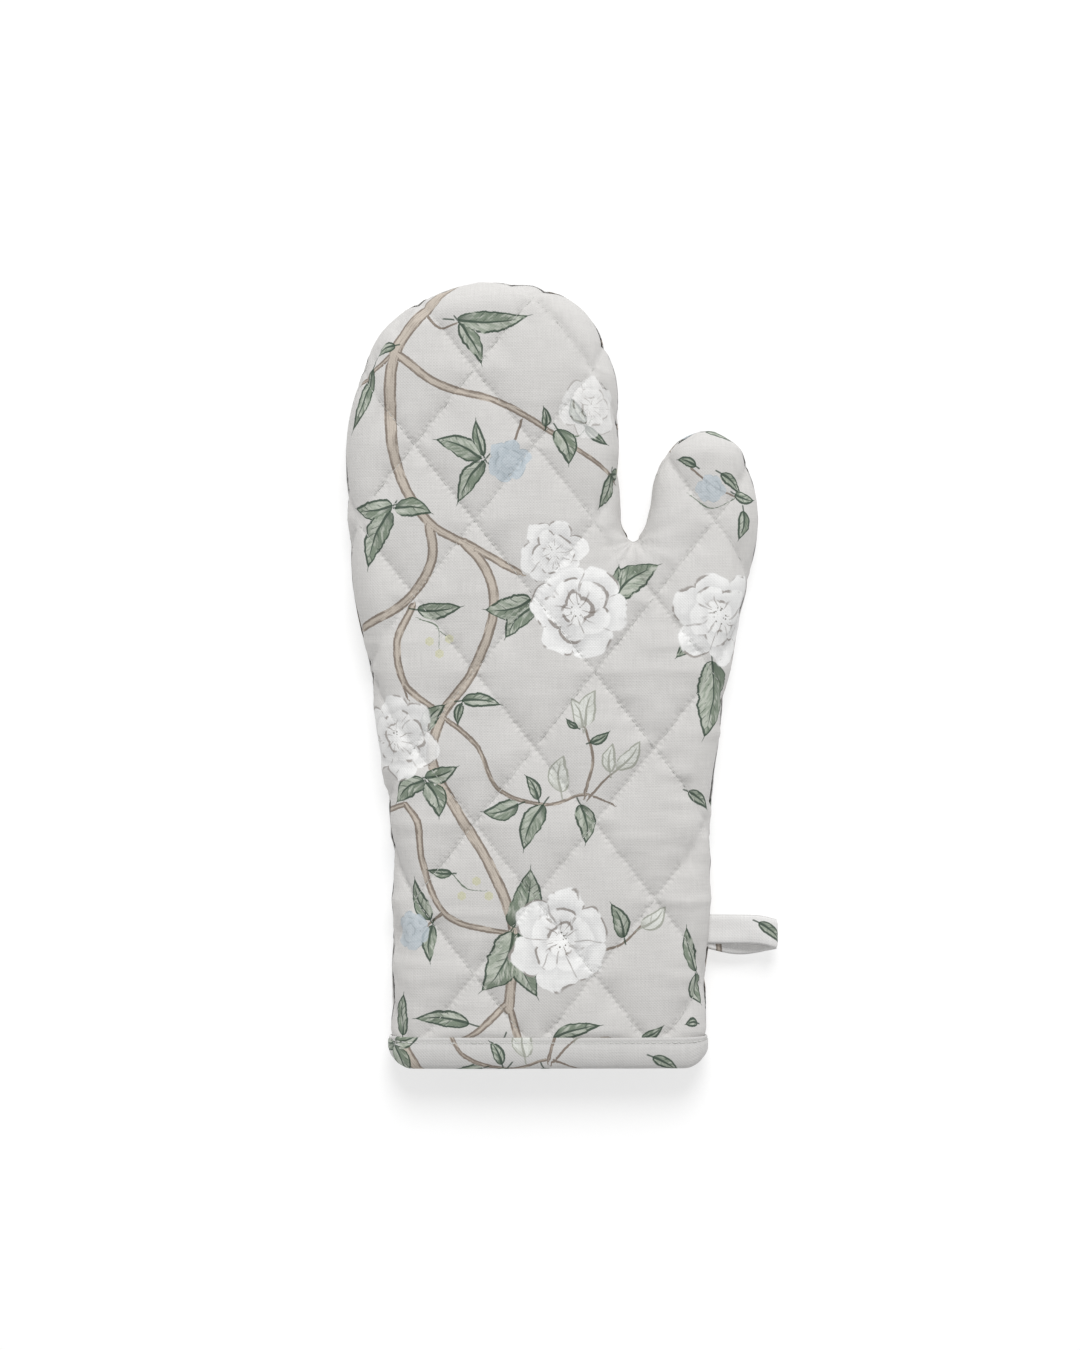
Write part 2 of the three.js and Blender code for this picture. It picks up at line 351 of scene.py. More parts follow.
def wrinkle_dent(cloth, places, side):
    """Puckers along the quilting lines, folds across the hand, and creases that fan out from the crotch."""
    x, y = cloth.T
    seed = 10 * side
    total = 0.35 * noise(x / 38, y / 30, seed + 1)
    for off, along, number in lattice(cloth):
        sign = np.where(off > 0, 1.0, 0.0)
        ripple = noise(along / 3.4, number * 7.3 + sign * 3.1, seed + 2)
        total = total + 0.34 * ripple * np.exp(-np.abs(off) / 6.0)
    folds = noise(x / 26 + 0.3 * noise(x / 20, y / 20, seed + 3), y / 5.2, seed + 4)
    sides = smooth(12, 50, np.abs(x - 2)) * smooth(0, 60, y) * (1 - smooth(165, 215, y))
    total = total - 0.9 * np.maximum(folds, 0) * (0.3 + 0.7 * sides)
    edge_ripple = noise(y / 3.6, x / 14, seed + 6) * np.exp(-((np.abs(x) - 55) / 12) ** 2)
    total = total - 0.35 * edge_ripple * smooth(10, 30, y) * (1 - smooth(170, 200, y))
    away = places - CROTCH
    far = np.linalg.norm(away, axis=1)
    angle = np.arctan2(away[:, 0], -away[:, 1])
    total = total + 1.3 * noise(angle * 4.6, far / 40, seed + 5) * np.exp(-far / 20) * smooth(0, 4, far)
    return total


def web(side, spacing, creased=None):
    """A mesh over one side: rows round the edge, and a field of triangles over the flat of the panel."""
    where = outline(spacing)
    where = where[at(edge_line, where)[:, 1] >= PANEL_START]
    line, inwards, rounds = (at(values, where) for values in (edge_line, edge_inwards, EDGE_ROUNDS[side]))
    inwards = unit(inwards)
    rows = max(6, round(18 / spacing))
    turns = np.linspace(0, math.pi / 2, rows + 1)
    insets = np.outer(1 - np.cos(turns), rounds)
    count = len(line)
    places = np.vstack([line + inwards * inset[:, None] for inset in insets])
    triangles = []
    start = np.arange(count - 1)
    for row in range(rows):
        a = start + row * count
        b, c, d = a + 1, a + count, a + count + 1
        triangles += [np.column_stack([a, c, b]), np.column_stack([b, c, d])]
    ring = places[-count:]
    steps = max(2, round((ring[-1, 0] - ring[0, 0]) / spacing))
    closing = np.linspace(ring[-1], ring[0], steps + 1)[1:-1]
    loop = np.vstack([ring, closing])
    field = hexagonal(loop, spacing)
    if creased:
        fine = hexagonal(loop, creased)
        field = np.vstack([field[to_line(field) > 1.7], fine[to_line(fine) < 1.35]])
    reach, _, number = nearest_edge(field)
    clear = (reach > EDGE_ROUNDS[side][number] + 0.6 * spacing) & (field[:, 1] > PANEL_START + 0.6 * spacing)
    field = field[clear]
    corners = [Vector(p) for p in np.vstack([loop, field])]
    sides = [(i, (i + 1) % len(loop)) for i in range(len(loop))]
    faces = geometry.delaunay_2d_cdt(corners, sides, [], 1, 1e-6)[2]
    order = np.array(faces) + rows * count
    extra = np.vstack([closing, field])
    places = np.vstack([places, extra])
    triangles = np.vstack([*triangles, order])
    a, b, c = (places[triangles[:, k]] for k in range(3))
    backwards = np.cross(b - a, c - a) < 0
    triangles[backwards] = triangles[backwards][:, ::-1]
    reach, extra_inwards, number = nearest_edge(extra)
    reach = np.concatenate([insets.ravel(), np.maximum(reach, EDGE_ROUNDS[side][number])])
    inwards = np.vstack([np.tile(inwards, (rows + 1, 1)), extra_inwards])
    turn = np.concatenate([np.repeat(turns, count), np.full(len(extra), math.pi / 2)])
    return Web(side, places, reach, inwards, turn), triangles


def to_line(cloth):
    """The distance to the nearest quilting line."""
    return np.minimum(*(np.abs(off) for off, _, _ in lattice(cloth)))


def hexagonal(loop, spacing):
    """Even points inside the loop, each with six neighbours."""
    low, high = loop.min(0), loop.max(0)
    x, y = np.meshgrid(
        np.arange(low[0], high[0], spacing),
        np.arange(low[1], high[1], spacing * math.sqrt(3) / 2),
    )
    x[1::2] += spacing / 2
    points = np.column_stack([x.ravel(), y.ravel()])
    return points[inside(points, loop)]


# ---------------------------------------------------------------- meshes

def make_mesh(name, points, faces, cloth, normals=None, printed=False):
    """A Blender object from points in millimetres and faces that all have the same number of corners."""
    faces = np.asarray(faces, np.int32)
    mesh = bpy.data.meshes.new(name)
    mesh.vertices.add(len(points))
    mesh.vertices.foreach_set("co", metres(points).astype(np.float32).ravel())
    mesh.loops.add(faces.size)
    mesh.loops.foreach_set("vertex_index", faces.ravel())
    mesh.polygons.add(len(faces))
    mesh.polygons.foreach_set("loop_start", np.arange(0, faces.size, faces.shape[1], dtype=np.int32))
    mesh.polygons.foreach_set("use_smooth", np.ones(len(faces), bool))
    mesh.update(calc_edges=True)
    corners = cloth if cloth.ndim == 3 else cloth[faces]
    fields = print_fields(corners) if printed else {}
    fields["cloth"] = np.pad(corners, ((0, 0), (0, 0), (0, 1)))
    for label, values in fields.items():
        attribute = mesh.attributes.new(label, "FLOAT_VECTOR", "CORNER")
        attribute.data.foreach_set("vector", values.astype(np.float32).ravel())
    if normals is not None:
        mesh.normals_split_custom_set_from_vertices(normals)
    made = bpy.data.objects.new(name, mesh)
    bpy.context.scene.collection.objects.link(made)
    return made


def point_normals(points, triangles):
    """The way that the faces round each point look, on average."""
    a, b, c = (points[triangles[:, k]] for k in range(3))
    across = np.cross(b - a, c - a)
    total = np.zeros_like(points)
    for k in range(3):
        for axis in range(3):
            total[:, axis] += np.bincount(triangles[:, k], across[:, axis], len(points))
    return unit(total)


def border(triangles):
    """The edges that only one of the triangles has, in that triangle's direction."""
    edges = np.vstack([triangles[:, [0, 1]], triangles[:, [1, 2]], triangles[:, [2, 0]]])
    size = triangles.max() + 1
    forward = edges[:, 0].astype(np.int64) * size + edges[:, 1]
    backward = edges[:, 1].astype(np.int64) * size + edges[:, 0]
    return edges[~np.isin(forward, backward)]


def on_thumb(places):
    return ((places - CROTCH) @ THUMB_WAY > 0) & (places[:, 0] > CROTCH[0])


def layer_pieces(name, web_and_triangles, levels, cloth, printed):
    """One layer of one side's wall, as a closed piece for the hand and another for the thumb."""
    cloth_web, triangles = web_and_triangles
    side = cloth_web.side
    outer, inner = (cloth_web.lay(level) for level in levels)
    if side == BACK:
        triangles = triangles[:, ::-1]
    outer_normals, inner_normals = point_normals(outer, triangles), -point_normals(inner, triangles)
    pattern = cloth_web.pattern(levels[0])
    middles = cloth_web.places[triangles].mean(1)
    thumb = on_thumb(middles)
    made = []
    for part, chosen in (("hand", ~thumb), ("thumb", thumb)):
        own = triangles[chosen]
        used, renumbered = np.unique(own, return_inverse=True)
        own = renumbered.reshape(-1, 3)
        count = len(used)
        rim = border(own)
        a, b = rim.T
        walls = np.vstack([np.column_stack([b, a, a + count]), np.column_stack([b, a + count, b + count])])
        faces = np.vstack([own, own[:, ::-1] + count, walls])
        piece = make_mesh(
            f"{name}_{part}_cloth",
            np.vstack([outer[used], inner[used]]),
            faces,
            np.vstack([cloth[used], cloth[used]]),
            np.vstack([outer_normals[used], inner_normals[used]]),
            printed,
        )
        made.append((piece, flat_size(pattern[triangles[chosen]])))
    return made


def flat_size(corners):
    """The width, length and area, in metres, of a cloth piece's pattern, from its triangles' corners."""
    a, b, c = (corners[:, k] for k in range(3))
    area = np.abs(np.cross(b - a, c - a)).sum() / 2
    size = np.ptp(corners.reshape(-1, 2), axis=0) / 1000
    return tuple(map(float, size)), float(area) / 1e6


def bend_hand(piece):
    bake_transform(piece)


def bend_thumb(piece):
    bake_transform(piece)


# ---------------------------------------------------------------- the print

def srgb(red, green, blue):
    """A colour as it is seen on a screen, from 0 to 255, as Blender's linear values."""
    def linear(value):
        value /= 255
        return value / 12.92 if value <= 0.04045 else ((value + 0.055) / 1.055) ** 2.4

    return (linear(red), linear(green), linear(blue), 1)


# Each branch: its points, and half its width at its start and its end.
BRANCHES = [
    ([(-40, 322), (-52, 306), (-62, 290), (-64, 268), (-61, 243), (-48, 221), (-30, 211), (-12, 201)],
     3.0, 1.5),
    ([(-62, 290), (-76, 280), (-92, 274)], 1.1, 0.9),
    ([(-61, 289), (-44, 277), (-20, 270), (4, 256), (30, 238)], 1.9, 0.7),
    ([(-11, 262), (-14, 253)], 0.6, 0.5),
    ([(-50, 306), (-44, 300), (-37, 302)], 0.7, 0.4),
    ([(-48, 220), (-47, 206), (-58, 189), (-78, 178)], 2.1, 1.6),
    ([(-34, 213), (-25, 202), (-22, 186), (-31, 160), (-43, 143), (-47, 125), (-38, 106), (-23, 81),
      (-14, 56), (-16, 24)], 2.0, 2.2),
    ([(-55, 187), (-61, 173), (-58, 156), (-44, 144)], 1.6, 1.3),
    ([(-60, 160), (-57, 150)], 1.3, 0.4),
    ([(-42, 142), (-29, 131), (-20, 113), (0, 107), (15, 111), (26, 107)], 1.1, 0.5),
    ([(15, 111), (18, 126), (15, 138)], 0.8, 0.5),
    ([(17, 110), (24, 118), (29, 122)], 0.6, 0.4),
    ([(-58, 107), (-53, 100), (-51, 84), (-41, 62), (-14, 54)], 1.4, 1.2),
    ([(-58, 107), (-80, 101)], 1.2, 1.0),
    ([(-43, 63), (-50, 57)], 0.8, 0.4),
    ([(-15, 28), (-30, 14), (-52, 4)], 1.5, 0.9),
    ([(-16, 26), (-10, 8), (8, -12)], 1.6, 1.0),
    ([(18, 47), (29, 50), (38, 58)], 0.7, 0.4),
    ([(24, 12), (48, 4), (70, -6)], 1.0, 0.7),
    ([(58, 243), (67, 236), (78, 231)], 0.5, 0.4),
    ([(80, 150), (92, 120), (88, 80)], 1.4, 1.2),
]
STALKS = [
    ([(-52, 182), (-45, 179), (-44, 171)], 0.25, 0.2),
    ([(-45, 178), (-41, 175)], 0.2, 0.2),
    ([(-39, 79), (-33, 73), (-26, 72)], 0.25, 0.2),
    ([(4, 259), (12, 256), (17, 262)], 0.3, 0.25),
    ([(58, 232), (66, 227), (76, 231)], 0.25, 0.2),
]

SAGE, BUD = 0.0, 1.0
# Each leaf: where it leaves its stalk, the direction of its tip in degrees, its length, width and kind.
LEAVES = [
    (-37, 303, 4, 29, 9, SAGE), (-36, 302, -62, 19, 7, SAGE), (-62, 293, 200, 10, 5, SAGE),
    (-72, 284, -108, 27, 6, SAGE), (-27, 247, 157, 20, 9, SAGE), (-26, 248, 102, 15, 5, SAGE),
    (-26, 246, -122, 20, 8, SAGE), (4, 259, -74, 15, 9, SAGE), (-1, 260, 96, 8, 4, SAGE),
    (15, 261, 118, 12, 6, SAGE), (15, 260, -38, 12, 4, SAGE), (27, 241, -112, 15, 7, SAGE),
    (27, 241, 12, 9, 5, SAGE), (-63, 228, 184, 17, 9, SAGE), (-64, 226, -112, 25, 10, SAGE),
    (-62, 227, -8, 15, 8, SAGE), (-53, 186, 4, 18, 7, SAGE), (-7, 190, 192, 19, 11, SAGE),
    (-6, 187, 228, 17, 9, SAGE), (27, 191, 36, 22, 12, SAGE), (26, 193, 76, 11, 6, SAGE),
    (67, 165, -97, 31, 16, SAGE), (60, 172, 214, 10, 5, SAGE), (-51, 137, 48, 14, 7, SAGE),
    (-50, 117, 217, 16, 9, SAGE), (-49, 116, -72, 15, 9, SAGE), (-50, 118, 18, 14, 7, SAGE),
    (-35, 149, -6, 16, 6, SAGE), (-35, 148, -100, 9, 4, SAGE), (-12, 107, 192, 15, 8, SAGE),
    (-2, 107, -114, 20, 9, SAGE), (13, 107, -82, 16, 8, SAGE), (-4, 109, 118, 11, 5, SAGE),
    (12, 138, 142, 6, 3, SAGE), (17, 132, 30, 9, 4, SAGE), (57, 112, -34, 13, 5, SAGE),
    (-14, 57, 74, 25, 13, SAGE), (-14, 55, -119, 27, 15, SAGE), (-12, 55, -74, 27, 12, SAGE),
    (-48, 60, 112, 18, 7, SAGE), (-47, 58, -93, 15, 6, SAGE), (-39, 79, 172, 10, 4, SAGE),
    (31, 53, 112, 15, 7, SAGE), (62, 39, 107, 19, 7, SAGE), (61, 38, -72, 13, 8, SAGE),
    (-61, 13, 84, 17, 8, SAGE), (-32, 18, 174, 22, 7, SAGE), (2, 12, 16, 20, 6, SAGE),
    (-18, 12, -92, 15, 8, SAGE), (-4, 2, -12, 12, 6, SAGE), (62, 18, 184, 6, 4, SAGE),
    (70, 241, -42, 13, 5, SAGE), (60, 244, 158, 9, 4, SAGE), (64, 262, -20, 14, 6, SAGE),
    (76, 233, -12, 11, 5, SAGE), (80, 226, -100, 12, 6, SAGE), (38, 12, 30, 10, 4, SAGE),
    (15, 139, 74, 15, 8, BUD), (14, 138, 112, 13, 7, BUD), (5, 112, 84, 15, 9, BUD),
    (28, 121, 52, 15, 7, BUD), (25, 120, 84, 12, 6, BUD), (38, 57, 42, 13, 7, BUD),
]

WHITE, BLUE, BERRY = 0.0, 1.0, 2.0
# Each flower: its middle, its radius, how far it is turned, its kind, and how strongly it is printed.
FLOWERS = [
    (2, 209, 14, 0.4, WHITE, 0.9), (12, 186, 20, 1.7, WHITE, 1), (70, 183, 20, 2.9, WHITE, 0.95),
    (-62, 134, 18, 0.9, WHITE, 0.85), (5, 52, 21, 2.2, WHITE, 1), (17, 268, 13, 1.2, WHITE, 0.55),
    (-16, 246, 9, 0.3, BLUE, 0.9), (-56, 56, 8, 1.9, BLUE, 0.8), (66, 235, 6, 0.7, BLUE, 0.8),
    (-48, 173, 1.9, 0, BERRY, 1), (-40, 174, 1.9, 0, BERRY, 1), (-44, 168, 1.9, 0, BERRY, 1),
    (-29, 76, 1.9, 0, BERRY, 1), (-24, 70, 1.9, 0, BERRY, 1), (-35, 70, 1.9, 0, BERRY, 1),
]
NEAR = 1.8  # a motif is drawn only this near to its shape
FAR_OFF = 99.0  # from every motif
LINE_STEP = 0.4  # between the points of a branch
LEAF_FULLNESS = 2.85  # makes the widest part of a leaf as wide as is said


def print_fields(corners):
    """What the print's material has to know at each face's corners, from their places on the cloth.

    All of a face's corners are told about the same branch, leaf and flower: the ones nearest to its middle.
    """
    middles = corners.mean(1)
    leaf, leaf_kind = leaf_fields(middles, corners)
    flower, flower_kind = flower_fields(middles, corners)
    return {
        "branch": line_field(middles, corners, BRANCHES),
        "stalk": line_field(middles, corners, STALKS),
        "leaf": leaf,
        "leaf_kind": leaf_kind,
        "flower": flower,
        "flower_kind": flower_kind,
    }


def from_line(points, line):
    """For each point, the distance from a line and the number of the line's nearest point."""
    distance, number = np.empty(len(points)), np.empty(len(points), int)
    for group in np.array_split(np.arange(len(points)), len(points) // 3000 + 1):
        squares = ((points[group][:, None] - line[None]) ** 2).sum(2)
        number[group] = squares.argmin(1)
        distance[group] = np.sqrt(squares.min(1))
    return distance, number


def as_corners(columns, corners):
    """Three columns of numbers, as one row for each corner of each face."""
    return np.column_stack(columns).reshape(-1, corners.shape[1], 3)


def line_field(middles, corners, lines):
    """The signed distance from the nearest line, half its width, and the place along it, in millimetres."""
    field = np.tile([FAR_OFF, 1.0, 0.0], (*corners.shape[:2], 1))
    best = np.full(len(middles), NEAR)
    for points, first, last in lines:
        line = spline(points, LINE_STEP)
        ways = tangents(line)
        widths = np.linspace(first, last, len(line))
        low, high = line.min(0) - 6, line.max(0) + 6
        close = np.flatnonzero(np.all((middles > low) & (middles < high), axis=1))
        distance, number = from_line(middles[close], line)
        gap = distance - widths[number]
        chosen = close[gap < best[close]]
        best[chosen] = gap[gap < best[close]]
        places = corners[chosen].reshape(-1, 2)
        distance, number = from_line(places, line)
        away = places - line[number]
        side = np.sign(ways[number, 0] * away[:, 1] - ways[number, 1] * away[:, 0])
        field[chosen] = as_corners([distance * side, widths[number], number * LINE_STEP], corners)
    return field


def leaf_place(points, leaf, number):
    """Points' places along a leaf, from 0 to 1, and across it in millimetres."""
    x, y, degrees, length, width, _ = leaf
    away = points - (x, y)
    way = np.array([math.cos(math.radians(degrees)), math.sin(math.radians(degrees))])
    along = away @ way / length
    bend = 0.18 * width * (1 if number % 2 else -1)
    across = away @ np.array([-way[1], way[0]]) - bend * np.sin(np.pi * np.clip(along, -0.2, 1.2))
    return along, across


def leaf_fields(middles, corners):
    """Each corner's place in the nearest leaf, and the leaf's size and kind."""
    place = np.tile([9.0, 9.0, 0.0], (*corners.shape[:2], 1))
    kind = np.tile([1.0, 0.0, 1.0], (*corners.shape[:2], 1))
    best = np.full(len(middles), NEAR)
    for number, leaf in enumerate(LEAVES):
        length, width, tone = leaf[3:]
        along, across = leaf_place(middles, leaf, number)
        t = np.clip(along, 0, 1)
        shape = width / 2 * LEAF_FULLNESS * t ** 0.6 * (1 - t)
        past = np.maximum(np.maximum(-along - 0.25, along - 1.1), 0) * length
        gap = np.abs(across) - shape + past
        chosen = gap < best
        best[chosen] = gap[chosen]
        along, across = leaf_place(corners[chosen].reshape(-1, 2), leaf, number)
        place[chosen] = as_corners([along, across, np.ones_like(along)], corners)
        kind[chosen] = (width / 2, tone, length)
    return place, kind


def flower_fields(middles, corners):
    """Each corner's place from the middle of the nearest flower and its strength, and its size and kind."""
    place = np.tile([FAR_OFF, FAR_OFF, 0.0], (*corners.shape[:2], 1))
    kind = np.tile([1.0, 0.0, 0.0], (*corners.shape[:2], 1))
    best = np.full(len(middles), 2 * NEAR)
    for x, y, radius, turn, tone, strength in FLOWERS:
        gap = np.linalg.norm(middles - (x, y), axis=1) - radius
        chosen = gap < best
        best[chosen] = gap[chosen]
        away = corners[chosen].reshape(-1, 2) - (x, y)
        c, s = math.cos(turn), math.sin(turn)
        x_turned, y_turned = away[:, 0] * c - away[:, 1] * s, away[:, 0] * s + away[:, 1] * c
        place[chosen] = as_corners([x_turned, y_turned, np.full(len(away), strength)], corners)
        kind[chosen] = (radius, tone, turn)
    return place, kind


# ---------------------------------------------------------------- materials

def plug(tree, value, slot):
    """Gives a node's input what a material works out, or another node's output, or a constant."""
    value = value.socket if isinstance(value, Value) else value
    if isinstance(value, bpy.types.NodeSocket):
        tree.links.new(value, slot)
    else:
        slot.default_value = value


class Value:
    """A number that a material works out, so that its formulas can be written as formulas."""

    def __init__(self, tree, socket):
        self.tree = tree
        self.socket = socket

    def math(self, operation, *others):
        node = self.tree.nodes.new("ShaderNodeMath")
        node.operation = operation
        for slot, value in zip(node.inputs, (self, *others)):
            plug(self.tree, value, slot)
        return Value(self.tree, node.outputs[0])

    def __add__(self, other):
        return self.math("ADD", other)

    def __sub__(self, other):
        return self.math("SUBTRACT", other)

    def __mul__(self, other):
        return self.math("MULTIPLY", other)

    def __truediv__(self, other):
        return self.math("DIVIDE", other)

    def __abs__(self):
        return self.math("ABSOLUTE")

    def __rsub__(self, other):
        return self.math("MULTIPLY", -1.0).math("ADD", other)

    def __pow__(self, other):
        return self.math("POWER", other)

    __radd__ = __add__
    __rmul__ = __mul__

    def least(self, other):
        return self.math("MINIMUM", other)

    def most(self, other):
        return self.math("MAXIMUM", other)

    def sine(self):
        return self.math("SINE")

    def step(self, low, high):
        """0 up to low and 1 from high, smoothly. With low above high it falls."""
        node = self.tree.nodes.new("ShaderNodeMapRange")
        node.interpolation_type = "SMOOTHSTEP"
        self.tree.links.new(self.socket, node.inputs["Value"])
        ends = (low, high, 0.0, 1.0) if low < high else (high, low, 1.0, 0.0)
        for slot, value in zip(("From Min", "From Max", "To Min", "To Max"), ends):
            node.inputs[slot].default_value = value
        return Value(self.tree, node.outputs["Result"])


class Paint:
    """A material's node tree, and the few kinds of node that these materials are made of."""

    def __init__(self, name):
        self.material = bpy.data.materials.new(name)
        self.material.use_nodes = True
        self.tree = self.material.node_tree
        self.shader = self.tree.nodes["Principled BSDF"]

    def new(self, kind, **settings):
        """A shader node of this kind."""
        node = self.tree.nodes.new("ShaderNode" + kind)
        for key, value in settings.items():
            setattr(node, key, value)
        return node

    def field(self, name):
        """The three numbers of a mesh attribute."""
        node = self.new("Attribute", attribute_name=name)
        split = self.new("SeparateXYZ")
        self.tree.links.new(node.outputs["Vector"], split.inputs[0])
        return [Value(self.tree, out) for out in split.outputs]

    def vector(self, x, y, z=0.0):
        node = self.new("CombineXYZ")
        for slot, value in zip(node.inputs, (x, y, z)):
            plug(self.tree, value, slot)
        return node.outputs[0]

    def noise(self, vector, scale=1.0, detail=2.0):
        """Smooth noise from 0 to 1."""
        node = self.new("TexNoise")
        self.tree.links.new(vector, node.inputs["Vector"])
        node.inputs["Scale"].default_value = scale
        node.inputs["Detail"].default_value = detail
        return Value(self.tree, node.outputs["Fac"])

    def cells(self, vector, scale):
        """How far each place is from the nearest of many scattered points."""
        node = self.new("TexVoronoi")
        self.tree.links.new(vector, node.inputs["Vector"])
        node.inputs["Scale"].default_value = scale
        return Value(self.tree, node.outputs["Distance"])

    def mix(self, amount, first, second):
        """The first colour at an amount of 0, and the second at 1."""
        node = self.new("Mix", data_type="RGBA")
        for number, value in ((0, amount), (6, first), (7, second)):  # its factor, and its two colours
            plug(self.tree, value, node.inputs[number])
        return node.outputs[2]

    def shade(self, colour, factor):
        """A colour made lighter or darker by a number near 1."""
        node = self.new("VectorMath", operation="SCALE")
        plug(self.tree, colour, node.inputs[0])
        plug(self.tree, factor, node.inputs["Scale"])
        return node.outputs[0]

    def finish(self, colour, height, depth, roughness, sheen):
        """Joins the colour and a height, in shares of depth in metres, to the shader."""
        bump = self.new("Bump")
        bump.inputs["Distance"].default_value = depth
        bump.inputs["Strength"].default_value = 1.0
        self.tree.links.new(height.socket, bump.inputs["Height"])
        self.tree.links.new(bump.outputs[0], self.shader.inputs["Normal"])
        self.tree.links.new(colour, self.shader.inputs["Base Color"])
        self.shader.inputs["Roughness"].default_value = roughness
        self.shader.inputs["Specular IOR Level"].default_value = 0.25
        self.shader.inputs["Sheen Weight"].default_value = sheen
        self.shader.inputs["Sheen Roughness"].default_value = 0.4
        return self.material


PITCH = 0.62  # from thread to thread of the cloth
WEAVE_DEPTH = 0.00016  # of the weave's bump, in metres


def weave(paint, x, y):
    """A plain weave's height from 0 to 1, and its uneven threads, near 0.5."""
    warp = (x * (math.pi / PITCH)).sine()
    weft = (y * (math.pi / PITCH)).sine()
    height = warp * weft * 0.5 + 0.5
    slubs = paint.noise(paint.vector(x * 0.10, y * 1.9)) * 0.5
    slubs = slubs + paint.noise(paint.vector(x * 1.9, y * 0.10, 7.0)) * 0.5
    return height, slubs


def draw_branch(paint, colour, grain, blot):
    for name, core, rim in (
        ("branch", srgb(185, 175, 163), srgb(112, 99, 88)),
        ("stalk", srgb(120, 134, 116), srgb(92, 108, 90)),
    ):
        off, half, along = paint.field(name)
        uneven = paint.noise(paint.vector(along * 0.11, off.math("SIGN") * 3.0, half)) - 0.5
        side = abs(off) + (grain - 0.5) * 0.5 + uneven * 1.1
        inside_it = (side - half).step(0.16, -0.1)
        strokes = paint.noise(paint.vector(along * 0.16, off * 0.9, half * 5.0), 1.0, 3.0)
        rim_line = (side - half).step(-1.15, -0.5) * strokes.step(0.32, 0.5)
        streak = paint.noise(paint.vector(along * 0.14, off * 2.1, half)).step(0.53, 0.66)
        pale = paint.mix(blot, core, tuple(min(c * 1.12, 1) for c in core[:3]) + (1,))
        tone = paint.mix((rim_line + streak * 0.5).least(1.0) * 0.9, pale, rim)
        colour = paint.mix(inside_it * grain.step(-1.0, 0.4) * 0.92, colour, tone)
    return colour


def draw_leaves(paint, colour, grain, blot):
    along, across, near = paint.field("leaf")
    half, kind, length = paint.field("leaf_kind")
    t = along.most(0.0).least(1.0)
    seed = length + half * 7.0
    across = across + (paint.noise(paint.vector(along * 2.2, seed), 1.0, 1.0) - 0.5) * half * 0.35
    one_side = across.math("SIGN")
    ragged = paint.noise(paint.vector(along * length * 0.35, one_side * 5.0, seed)) - 0.5
    shape = half * (t ** 0.6) * (1.0 - t) * (ragged * 1.4 + LEAF_FULLNESS)
    side = abs(across) + (grain - 0.5) * 0.35
    gap = side - shape
    body = gap.step(0.18, -0.12) * along.step(-0.005, 0.01) * along.step(1.0, 0.985)
    brush = paint.noise(paint.vector(along * length * 0.5 - abs(across) * 0.8, across * 0.5, seed), 0.8, 2.0)
    one_half = (across + (blot - 0.5) * 2.0).step(-0.3, 0.5)
    sage = paint.mix(brush.step(0.38, 0.62), srgb(186, 191, 180), srgb(152, 162, 147))
    sage = paint.mix(one_half * brush.step(0.3, 0.55) * 0.72, sage, srgb(104, 120, 101))
    petal = paint.mix(brush.step(0.4, 0.65), srgb(217, 219, 214), srgb(203, 205, 198))
    fill = paint.mix(kind.step(0.3, 0.7), sage, petal)
    pressure = paint.noise(paint.vector(along * length * 0.16, across * 0.25, seed))
    rib = (abs(across) - (1.0 - t) * 0.55).step(0.22, -0.05) * along.step(0.92, 0.7)
    heavy = across.step(0.6, -0.6) * 0.28
    rim = (abs(gap + 0.34) - heavy - pressure * 0.85 + 0.16).step(0.14, -0.06) * pressure.step(0.3, 0.4)
    vein = ((along * length - abs(across) * 1.1) * 1.9 + brush * 2.0).sine().step(0.72, 0.97)
    vein = vein * pressure.step(0.46, 0.58) * (abs(across) - shape * 0.85).step(0.1, -0.2)
    root = (along + (brush - 0.5) * 0.3).step(0.3, 0.02) * one_half * 0.7
    ink = rib.most(rim).most(vein * 0.7).most(root)
    ink_colour = paint.mix(kind.step(0.3, 0.7), srgb(50, 70, 56), srgb(158, 160, 150))
    drawn = paint.mix(ink.least(1.0) * 0.95, fill, ink_colour)
    stem = (abs(across) - 0.32).step(0.14, -0.1) * along.step(-0.22, -0.17) * along.step(0.06, 0.02)
    tip = (abs(across) - 0.1).step(0.16, -0.06) * along.step(0.93, 0.96) * along.step(1.09, 1.03)
    colour = paint.mix(body * near * 0.95, colour, drawn)
    return paint.mix(stem.most(tip * kind.step(0.7, 0.3)) * near * 0.85, colour, ink_colour)


